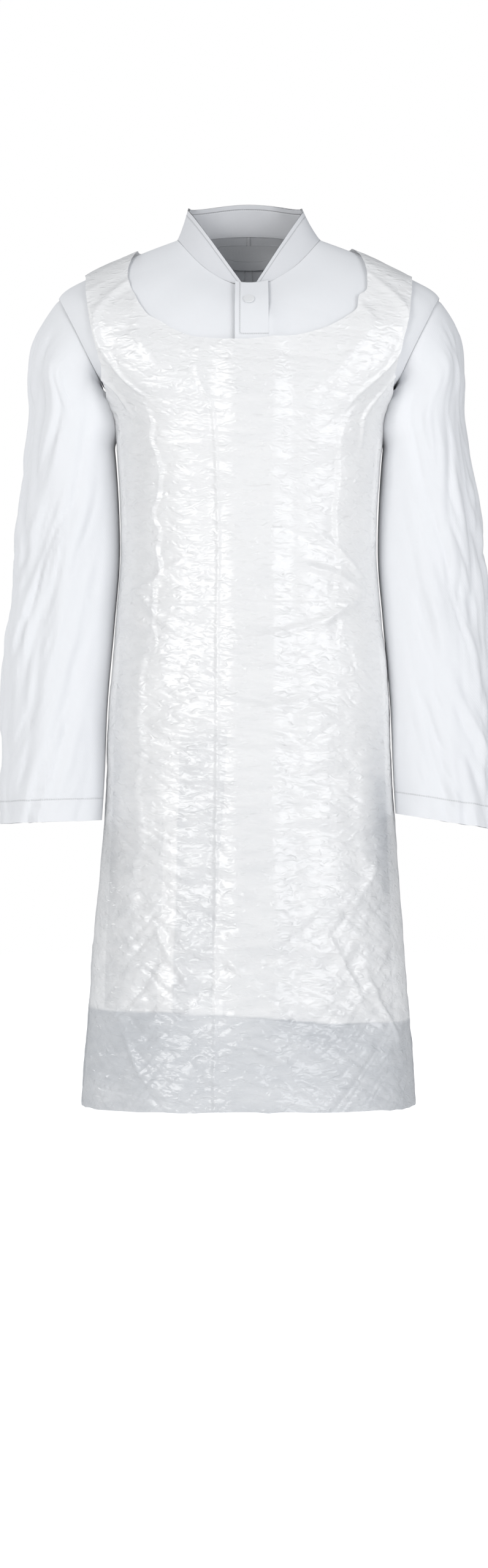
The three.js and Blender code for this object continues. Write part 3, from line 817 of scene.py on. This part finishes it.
def add_sleeve(side, settings, materials):
    """A sleeve in two stretches which meet above the elbow, and the turned-up cuff inside it."""
    name = "left" if side > 0 else "right"
    points, heights = sleeve_grid(side, settings)
    if side < 0:
        points = points[:, ::-1] * [-1, 1, 1]
    normals = grid_normals(points, True)
    steps = np.linalg.norm(np.diff(points, axis=0), axis=-1)
    edge = np.concatenate([np.cumsum(steps[::-1], 0)[::-1], np.zeros((1, SLEEVE_COLUMNS))])
    middle = points.mean(1, keepdims=True)
    run = np.arctan2(points[..., 1] - middle[..., 1], points[..., 0] - middle[..., 0]) * 0.05
    split = int(np.argmax(heights < -0.322))
    cloth, thick = materials["sleeve"], settings.cloth_thickness
    parts = {"upper": slice(0, split + 1), "lower": slice(split, None)}
    made = {}
    for part, rows in parts.items():
        made[part] = cloth_grid(f"{name}_{part}_sleeve_cloth", points[rows], cloth, thick, wrap=True,
                                values=stitch_values(edge[rows], run[rows]),
                                normals=normals[rows])
    fold = slice(int(np.argmax(edge[:, 0] < 0.027)), None)
    inner = points[fold] - normals[fold] * (thick + 0.3 * MM)
    made["cuff"] = cloth_grid(f"{name}_cuff_cloth", inner, materials["facing"], 0.8 * MM, wrap=True,
                              values=stitch_values(1 + edge[fold], run[fold]))
    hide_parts(f"{name}_sleeve_head", f"{name}_upper_sleeve")
    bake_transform(made["upper"])
    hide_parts(f"{name}_elbow", f"{name}_lower_sleeve")
    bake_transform(made["lower"])
    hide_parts(f"{name}_cuff_fold")
    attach(made["cuff"], f"{name}_forearm")
    return made


# ---------------------------------------------------------------- the apron

def film_touching(s, z):
    """Where the film lies on the coat: 1 touching, 0 standing clear of it."""
    wander = 0.010 * noise(15 * z, 3 * s, 71) + 0.007 * noise(45 * z, 9 * s, 72)
    left = smooth(-0.122, -0.112, s + wander)
    right = 1 - smooth(0.103, 0.113, s - wander)
    chest = left * right * smooth(-0.17, -0.23, z + 0.6 * wander) * smooth(-0.54, -0.46, z)
    hips = smooth(-0.46, -0.54, z) * smooth(-0.135, -0.12, s + wander)
    hips = hips * (1 - smooth(0.115, 0.135, s - wander))
    yoke = smooth(-0.2, -0.14, z) * 0.6
    patches = 0.9 + 0.3 * noise(24 * s + 3 * noise(9 * s, 12 * z, 74), 19 * z, 75)
    touch = np.maximum(np.maximum(chest, hips * 0.9), yoke) * np.clip(patches, 0.3, 1)
    return np.clip(touch, 0, 1) * smooth(-0.96, -0.925, z)


def film_painted_light(s, z, touch):
    """Painted light and shade for the film's colour: 1 where it lies on the cloth, darker where it
    stands clear or has nothing behind it, with painted shadows and strips, and random flecks.
    """
    flecks = 0.04 * noise(40 * s + 20 * z, 120 * z - 20 * s, 76) + 0.03 * noise(90 * s, 260 * z, 77)
    # Painted shade where the film stands clear of the cloth, deeper on the wearer's right side, and
    # painted shade towards the bottom everywhere.
    clear = mix(0.87, 1.0, smooth(-0.1, 0.15, s))
    clear = clear - 0.1 * smooth(-0.6, -0.85, z)
    clear = mix(clear, 1.0 - 0.1 * smooth(-0.6, -0.85, z), touch)
    clear = clear + flecks * smooth(-0.12, -0.2, z) * mix(1.0, 1.8, smooth(-0.5, -0.8, z))
    # A painted shadow at hand height on the wearer's left. Below the last press stud, a painted dark
    # strip over the coat's opening and a painted light strip along the right front's edge. A fainter
    # painted shadow at hand height on the wearer's right.
    shade = 1.6 * np.exp(-((s - 0.175) / 0.03) ** 2 - ((z + 0.71) / 0.09) ** 2)
    opened = smooth(-0.57, -0.62, z) * (z > -0.95)
    shade = shade + 0.4 * opened * (s > right_edge(z) + 0.001) * (s < left_edge(z))
    shade = shade - 0.3 * opened * (s > right_edge(z) - 0.017) * (s < right_edge(z))
    shade = shade + 0.5 * np.exp(-((s + 0.19) / 0.025) ** 2 - ((z + 0.66) / 0.12) ** 2)
    # Below the coat's hem nothing backs the film, and it is painted a darker grey as painted shade.
    backed = smooth(-0.0015, 0.0015, z - hem_height(s))
    bare_shade = 0.26 + 0.14 * noise(12 * s + 6 * z, 24 * z, 78) + 1.5 * flecks
    return np.clip(mix(bare_shade, clear - 0.4 * shade, backed), 0, 1)


# Ridges in the film, in metres round and up the coat: from, to, and the height in millimetres.
FILM_PULLS = (
    (-0.165, -0.03, -0.1, -0.2, 2.4), (-0.15, -0.02, -0.06, -0.16, 1.8),
    (-0.18, -0.05, -0.15, -0.24, 2.0), (0.165, -0.03, 0.1, -0.22, 2.2),
    (0.15, -0.02, 0.045, -0.19, 1.9), (0.18, -0.06, 0.14, -0.26, 2.1),
    (-0.02, -0.492, 0.125, -0.452, 2.6), (0.17, -0.43, 0.05, -0.395, 2.8),
    (0.17, -0.42, 0.06, -0.345, 2.2), (0.17, -0.425, 0.07, -0.475, 2.4),
    (-0.17, -0.43, -0.06, -0.39, 1.6), (-0.17, -0.42, -0.07, -0.48, 1.6),
    (0.07, -0.83, 0.12, -0.93, 2.4), (0.12, -0.88, 0.18, -0.98, 2.0),
    (-0.1, -0.82, -0.05, -0.91, 2.2), (-0.02, -0.86, 0.05, -0.97, 2.2),
    (0.0, -0.97, 0.06, -1.04, 2.4), (-0.14, -0.95, -0.09, -1.03, 2.2),
    (0.16, -0.75, 0.1, -0.82, 2.4), (0.02, -0.66, 0.12, -0.63, 1.8),
    (-0.05, -0.58, 0.09, -0.55, 1.8), (-0.09, -0.71, 0.02, -0.69, 1.6),
)


def film_creases(s, z):
    """The film's crinkles, folds and gathers, in metres."""
    lower = smooth(-0.45, -0.6, z)
    skirt = smooth(-0.74, -0.84, z)
    band = np.exp(-((s + 0.055) / 0.035) ** 2) * smooth(-0.54, -0.62, z) * smooth(-0.97, -0.9, z)
    broad = crumple(9 * s + 4 * z, 15 * z - 5 * s, 81, 2) * mix(2.4, 4.2, lower)
    streak = crumple(11 * s + 4 * z, 75 * z + 10 * s, 82, 2) * mix(0.7, 1.5, lower)
    rising = crumple(14 * (s - z), 62 * (z + 0.55 * s), 88, 2) * mix(0.5, 1.2, lower)
    slant = crumple(13 * (s + 0.3 * z), 60 * (0.7 * z - 0.8 * s), 83, 2) * 1.8 * skirt
    slant = slant + crumple(13 * s - 9 * z, 52 * (0.8 * z + 0.7 * s), 89, 2) * 1.4 * skirt
    dense = crumple(24 * s, 130 * z + 9 * s, 84, 2) * 1.0 * band
    fans = 0
    for x0, z0, x1, z1, size in FILM_PULLS:
        fans = fans + size * crease(s, z, x0, z0, x1, z1, 0.005)
    pack = 0
    for height in (-0.251, -0.443, -0.656, -0.86):
        pack = pack + np.exp(-((z - height + 0.003 * noise(6 * s, 0.5, 85)) / 0.0022) ** 2)
    pack = pack + np.exp(-((s + 0.027 + 0.002 * noise(5 * z, 0.5, 86)) / 0.0022) ** 2)
    drape = 0.9 * noise(7 * s, 1.5 * z, 87) * (0.5 + 2.4 * skirt)
    return (broad + streak + rising + slant + dense + fans + 0.8 * pack + drape - 1.5) * MM


def film_keep(points, angle, v, z):
    """Above 0 where the apron has film: below its neckline and inside its armholes."""
    x = np.abs(points[..., 0])
    sine = np.abs(np.sin(np.radians(angle)))
    ahead = np.sin(np.radians(angle)) < 0
    lowest = level(270.0, -0.1275)
    round_left = np.where(ahead, smooth(280, 350, angle % 360), 1 - smooth(20, 80, angle % 360))
    strap = mix(0.96, 0.78, round_left)
    line = np.where(ahead, mix(strap, lowest, sine ** 1.5), strap)
    wave = 0.1 * noise(0.16 * angle, 0.5, 79) * np.where(ahead, sine, 0)
    neck = (v - line + wave) * 0.04
    outline = np.where(z > -0.045, mix(0.197, 0.209, np.clip((z + 0.05) / 0.11, 0, 1)),
                       mix(0.156, 0.197, smooth(-0.235, -0.045, z) ** 0.8))
    hole = np.where(z > ARMPIT, outline - x, 1.0)
    loop = np.where(ahead, 1.0, (2.05 - v) * 0.04)
    behind = np.where(ahead, 0.0, np.minimum(angle % 360, 180 - angle % 360)) * PER_DEGREE
    wrap = np.where(z > WAIST_BOTTOM, 20.0, mix(20.0, 4.0, smooth(-0.46, -0.52, z))) * PER_DEGREE
    back = np.where(z < ARMPIT, wrap - behind, loop)
    between = np.where(ahead, 1.0, np.where((z > -0.36) & (v > 2.2), wrap * 0.2 - behind, 1.0))
    return np.minimum(np.minimum(neck, hole), np.minimum(back, between))


def add_apron(settings, materials):
    """One length of film: neck loop, bib, tied waist and skirt."""
    rows, ahead_cols, behind_cols = 520, 400, 160
    front = np.linspace(176, 364, ahead_cols)
    behind = np.linspace(364, 536, behind_cols + 1)[1:-1]
    angle = np.concatenate([front, behind])[None] * np.ones((rows, 1))
    v = np.interp(np.linspace(0, 1, rows), [0, 0.18, 0.45, 1.0], [0.55, 4.2, 7.6, LAST])
    v = v[:, None] * np.ones((1, angle.shape[1]))
    flat = body(angle, v)
    z, s = flat[..., 2], girth(angle)
    hem = 0.006 * noise(11 * s, 0.5, 90) + 0.004 * np.abs(noise(37 * s, 0.5, 91)) + 0.003
    share = smooth(-0.9, -1.055, z)
    v = np.clip(v - share * hem / 0.11, 0, LAST)
    touch = film_touching(s, z)
    side = smooth(0.11, 0.2, np.abs(s))
    clear = mix(1.9, mix(4.2, 7.0, side), 1 - touch) * MM
    ridge = 5.2 * MM * smooth(-0.05, -0.014, flat[..., 0]) * (1 - smooth(0.026, 0.055, flat[..., 0]))
    ridge = ridge * (flat[..., 1] < 0) * (1 - 0.5 * smooth(-0.95, -1.0, z))
    flare = 16 * MM * skirt_flare(z) ** 1.3
    folds = np.maximum(coat_folds(angle, z, settings.fold_strength), -0.5 * MM)
    crinkle = film_creases(s, z) * settings.crinkle
    quiet = mix(1.0, 0.25, smooth(0.15, 0.21, np.abs(s)) * smooth(-0.2, -0.24, z))
    off = folds + np.maximum(clear + crinkle * quiet, 0.8 * MM) + ridge + flare
    ahead = np.sin(np.radians(angle)) < 0
    off = np.where(ahead | (z < -0.2), off, 4.5 * MM + 0.5 * crinkle)
    points = off_body(angle, v, off)
    keep = film_keep(flat, angle, v, z)
    painted_shading = film_painted_light(s, z, touch)
    piece = cloth_grid("apron_film", points, materials["film"], 0, keep, True, {"painted_shading": painted_shading})
    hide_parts("apron_bib", "apron_neck_loop", "apron_waist", "apron_skirt")
    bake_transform(piece)
    return piece


def film_ribbon(name, angle, height, off, materials):
    """A ribbon of gathered film over a grid of angles and heights."""
    v = level(angle, height, 5.0)
    points = off_body(angle, v, off)
    # The ties get a fixed middle value of the film's painted light and shade, greyer than film lying on
    # the cloth.
    values = {"painted_shading": np.full(v.shape, 0.5)}
    return cloth_grid(name, points, materials["film"], 0.25 * MM, values=values)


def add_ties(materials):
    """The apron's ties, gathered to ropes of film, their knot and its two tails."""
    for name, first, last in (("left", 19.0, 84.0), ("right", 96.0, 161.0)):
        angle = np.linspace(first, last, 120)[None] * np.ones((22, 1))
        across = np.linspace(1, -1, 22)[:, None]
        end = np.minimum(angle - first, last - angle)
        wide = 13 * MM * (0.55 + 0.25 * noise(0.12 * angle, 0.5, 101) + 0.2 * smooth(0, 12, end))
        height = TIE_HEIGHT + across * wide
        off = (5.4 + 2.0 * np.cos(7 * across + 0.05 * angle) + 1.2 * noise(3 * across, 0.3 * angle, 102))
        tie = film_ribbon(f"{name}_tie_film", angle, height, off * MM, materials)
        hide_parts(f"{name}_tie")
        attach(tie, "coat_body")
    for name, first, last in (("left", 82.0, 88.6), ("right", 91.4, 98.0)):
        share = np.linspace(0, 1, 80)[:, None]
        apart = 0.8 if first < 90 else -0.8
        middle = mix((first + last) / 2 - apart, (first + last) / 2, share)
        half = (last - first) / 2 * (0.45 + 0.55 * smooth(0, 0.25, share))
        across = np.linspace(-1, 1, 16)[None]
        angle = middle + across * half
        height = TIE_HEIGHT - 0.008 - 0.176 * share + 0 * across
        off = 5.6 + 1.8 * np.cos(5 * across + 7 * share) + 1.6 * noise(2 * across, 9 * share, 103)
        tail = film_ribbon(f"{name}_tie_tail_film", angle, height, off * MM, materials)
        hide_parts(f"{name}_tie_tail")
        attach(tail, "coat_body")
    add_knot(materials)


def add_knot(materials):
    """A lumpy knot of gathered film."""
    low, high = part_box("tie_knot")
    low, high = np.array(low), np.array(high)
    middle, half = (low + high) / 2, (high - low) / 2
    turn = np.linspace(0, 2 * math.pi, 64, endpoint=False)[None]
    tilt = np.linspace(0.02, math.pi - 0.02, 40)[:, None]
    swirl = 1 + 0.1 * np.sin(3 * turn + 6 * tilt) + 0.05 * noise(6 * np.cos(turn), 4 * tilt, 104)
    shape = np.stack([np.cos(turn) * np.sin(tilt) * swirl, np.sin(turn) * np.sin(tilt) * swirl,
                      np.cos(tilt) * np.ones(turn.shape) * 0.98], -1)
    points = middle + shape * half
    # The knot gets a fixed value of the film's painted light and shade, a little greyer than the ties.
    knot = cloth_grid("tie_knot_film", points, materials["film"], wrap=True,
                      values={"painted_shading": np.full(points.shape[:2], 0.4)})
    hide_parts("tie_knot")
    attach(knot, "coat_body")


# ---------------------------------------------------------------- studio

CAMERA_SIDE = -0.006
CAMERA_HEIGHT = -0.66
FLOOR_RADIUS = 16


def add_light(name, place, aim, size, power, color):
    """A soft square light aimed at a point."""
    light = bpy.data.lights.new(name, "AREA")
    light.size = size
    light.energy = power
    light.color = color
    piece = bpy.data.objects.new(name, light)
    piece.location = place
    piece.rotation_euler = (Vector(aim) - Vector(place)).to_track_quat("-Z", "Y").to_euler()
    bpy.context.scene.collection.objects.link(piece)


def studio_world(ambient):
    """Plain white behind the coat, and a softer white light on it."""
    world = bpy.data.worlds.new("Studio")
    bpy.context.scene.world = world
    world.use_nodes = True
    tree = world.node_tree
    tree.nodes.clear()
    seen, lit = tree.nodes.new("ShaderNodeBackground"), tree.nodes.new("ShaderNodeBackground")
    seen.inputs["Color"].default_value = (1, 1, 1, 1)
    lit.inputs["Color"].default_value = (0.93, 0.96, 1, 1)
    lit.inputs["Strength"].default_value = ambient
    path, choose = tree.nodes.new("ShaderNodeLightPath"), tree.nodes.new("ShaderNodeMixShader")
    out = tree.nodes.new("ShaderNodeOutputWorld")
    tree.links.new(path.outputs["Is Camera Ray"], choose.inputs["Fac"])
    tree.links.new(lit.outputs[0], choose.inputs[1])
    tree.links.new(seen.outputs[0], choose.inputs[2])
    tree.links.new(choose.outputs[0], out.inputs["Surface"])


def add_floor(settings):
    """A pale plain floor under the coat."""
    height = APRON_HEM - settings.floor_drop
    turn = np.linspace(0, 2 * math.pi, 64, endpoint=False)
    ring = np.stack([FLOOR_RADIUS * np.cos(turn), FLOOR_RADIUS * np.sin(turn),
                     np.full(64, height)], -1)
    points = np.concatenate([ring, [[0, 0, height]]])
    faces = np.stack([np.arange(64), np.roll(np.arange(64), -1), np.full(64, 64)], -1)
    material, shader = material_with("Floor", (0.96, 0.96, 0.96), 0.9)
    shader.inputs["Specular IOR Level"].default_value = 0.1
    shader.inputs["Emission Color"].default_value = (1, 1, 1, 1)
    tree = material.node_tree
    path = tree.nodes.new("ShaderNodeLightPath")
    glow = math_node(tree, "MULTIPLY", path.outputs["Is Camera Ray"], settings.floor_glow)
    tree.links.new(glow, shader.inputs["Emission Strength"])
    piece = make_mesh("floor", points, faces, material)


def add_camera(settings):
    """The camera, level and straight in front."""
    camera = bpy.data.cameras.new("Camera")
    camera.lens = settings.lens
    camera.sensor_width = 36
    piece = bpy.data.objects.new("Camera", camera)
    piece.location = (CAMERA_SIDE, -settings.camera_distance, CAMERA_HEIGHT)
    piece.rotation_euler = (math.pi / 2, 0, 0)
    scene = bpy.context.scene
    scene.collection.objects.link(piece)
    scene.camera = piece
    scene.render.resolution_x = 796
    scene.render.resolution_y = 2560
    scene.view_settings.view_transform = "Standard"


# ---------------------------------------------------------------- settings, operators, panel

class CoatSettings(bpy.types.PropertyGroup):
    """What can be changed about the coat, the apron and the studio."""

    cloth_thickness: bpy.props.FloatProperty(
        name="Cloth thickness", description="Thickness of the coat's cloth",
        default=0.0011, unit="LENGTH")
    fold_strength: bpy.props.FloatProperty(
        name="Folds", description="How deep the cloth's folds are", default=1.0, subtype="FACTOR")
    crinkle: bpy.props.FloatProperty(
        name="Crinkle", description="How deep the film's crinkles are", default=1.15,
        subtype="FACTOR")
    film_alpha: bpy.props.FloatProperty(
        name="Film cover", description="How much the film hides", default=0.92, subtype="FACTOR")
    film_roughness: bpy.props.FloatProperty(
        name="Film roughness", description="How dull the film is", default=0.28, subtype="FACTOR")
    ambient: bpy.props.FloatProperty(
        name="Ambient", description="Soft light from all round", default=0.36,
        subtype="FACTOR")
    key_power: bpy.props.FloatProperty(
        name="Main light", description="Power of the main light", default=55.0, unit="POWER")
    floor_glow: bpy.props.FloatProperty(
        name="Floor light", description="How brightly the floor looks lit", default=0.85,
        subtype="FACTOR")
    floor_drop: bpy.props.FloatProperty(
        name="Floor", description="How far below the apron the floor is", default=0.56,
        unit="LENGTH")
    lens: bpy.props.FloatProperty(
        name="Lens", description="Focal length of the camera", default=84.0, unit="CAMERA")
    camera_distance: bpy.props.FloatProperty(
        name="Camera distance", description="How far in front the camera stands", default=4.5,
        unit="LENGTH")


def build_materials(settings):
    """All the coat's materials, by name."""
    groups = {"weave": weave_group(), "stitch": stitch_group(), "film": film_group()}
    return {
        "cloth": cloth_material("Coat cloth", (0.9, 0.912, 0.935), groups),
        # The collar is the coat's own cloth painted darker, as painted shade.
        "collar": cloth_material("Shaded collar cloth", (0.78, 0.79, 0.815), groups),
        "sleeve": cloth_material("Sleeve cloth", (0.9, 0.912, 0.935), groups, 0.027),
        "facing": cloth_material("Facing cloth", (0.86, 0.87, 0.89), groups),
        "film": film_material(groups, settings.film_alpha, settings.film_roughness),
        "plastic": plastic_material(),
    }


def materials_now(settings):
    """The materials, made the first time they are wanted."""
    names = {"cloth": "Coat cloth", "collar": "Shaded collar cloth", "sleeve": "Sleeve cloth",
             "facing": "Facing cloth", "film": "Apron film", "plastic": "Stud plastic"}
    if "Coat cloth" not in bpy.data.materials:
        return build_materials(settings)
    return {key: bpy.data.materials[name] for key, name in names.items()}


class LABCOAT_OT_body(bpy.types.Operator):
    """Adds the coat's fronts, back, collar, throat tab, label and loop"""

    bl_idname = "labcoat.add_body"
    bl_label = "Add coat"

    def execute(self, context):
        settings = context.scene.labcoat
        materials = materials_now(settings)
        front_panel(1, settings, materials)
        front_panel(-1, settings, materials)
        back_panel(settings, materials)
        collar_piece(materials)
        throat_tab(settings, materials)
        label_and_loop(materials)
        return {"FINISHED"}


class LABCOAT_OT_sleeves(bpy.types.Operator):
    """Adds both sleeves with their cuffs"""

    bl_idname = "labcoat.add_sleeves"
    bl_label = "Add sleeves"

    def execute(self, context):
        settings = context.scene.labcoat
        for side in (1, -1):
            add_sleeve(side, settings, materials_now(settings))
        return {"FINISHED"}


class LABCOAT_OT_apron(bpy.types.Operator):
    """Adds the film apron, its ties and their knot"""

    bl_idname = "labcoat.add_apron"
    bl_label = "Add apron"

    def execute(self, context):
        settings = context.scene.labcoat
        materials = materials_now(settings)
        add_apron(settings, materials)
        add_ties(materials)
        return {"FINISHED"}


class LABCOAT_OT_studs(bpy.types.Operator):
    """Gives the press studs their plastic"""

    bl_idname = "labcoat.finish_studs"
    bl_label = "Finish press studs"

    def execute(self, context):
        plastic = materials_now(context.scene.labcoat)["plastic"]
        for name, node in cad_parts.items():
            if name.startswith("press_"):
                node.data.materials.clear()
                node.data.materials.append(plastic)
        return {"FINISHED"}


class LABCOAT_OT_studio(bpy.types.Operator):
    """Adds the floor, lights and camera"""

    bl_idname = "labcoat.add_studio"
    bl_label = "Add studio"

    def execute(self, context):
        settings = context.scene.labcoat
        studio_world(settings.ambient)
        add_floor(settings)
        power = settings.key_power
        add_light("Main light", (-2.0, -3.4, 0.6), (0, 0, -0.5), 1.7, power, (1, 0.99, 0.975))
        add_light("Fill light", (2.3, -3.0, 0.2), (0, 0, -0.5), 2.0, 0.82 * power, (0.98, 0.985, 1))
        add_light("Rim light", (-2.2, 1.4, 0.8), (0, 0, -0.4), 1.2, 0.35 * power, (1, 1, 1))
        add_light("Top light", (0.4, -0.6, 2.4), (0, 0, -0.3), 1.6, 0.06 * power, (1, 1, 1))
        add_camera(settings)
        return {"FINISHED"}


class LABCOAT_PT_panel(bpy.types.Panel):
    """The coat's settings and the buttons that build it"""

    bl_idname = "LABCOAT_PT_panel"
    bl_label = "Lab coat"
    bl_space_type = "VIEW_3D"
    bl_region_type = "UI"
    bl_category = "Lab coat"

    def draw(self, context):
        settings = context.scene.labcoat
        for name in CoatSettings.__annotations__:
            self.layout.prop(settings, name)
        for operator in OPERATORS:
            self.layout.operator(operator.bl_idname)


OPERATORS = (LABCOAT_OT_body, LABCOAT_OT_sleeves, LABCOAT_OT_apron, LABCOAT_OT_studs,
             LABCOAT_OT_studio)
CLASSES = (CoatSettings, *OPERATORS, LABCOAT_PT_panel)


def register():
    """Adds the classes and the scene's settings."""
    for item in CLASSES:
        bpy.utils.register_class(item)
    bpy.types.Scene.labcoat = bpy.props.PointerProperty(type=CoatSettings)


def unregister():
    """Takes them away again."""
    del bpy.types.Scene.labcoat
    for item in reversed(CLASSES):
        bpy.utils.unregister_class(item)


def main():
    """Builds everything in order."""
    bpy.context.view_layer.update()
    register()
    bpy.ops.labcoat.add_body()
    bpy.ops.labcoat.add_sleeves()
    bpy.ops.labcoat.add_apron()
    bpy.ops.labcoat.finish_studs()
    bpy.ops.labcoat.add_studio()


if __name__ == "__main__":
    main()
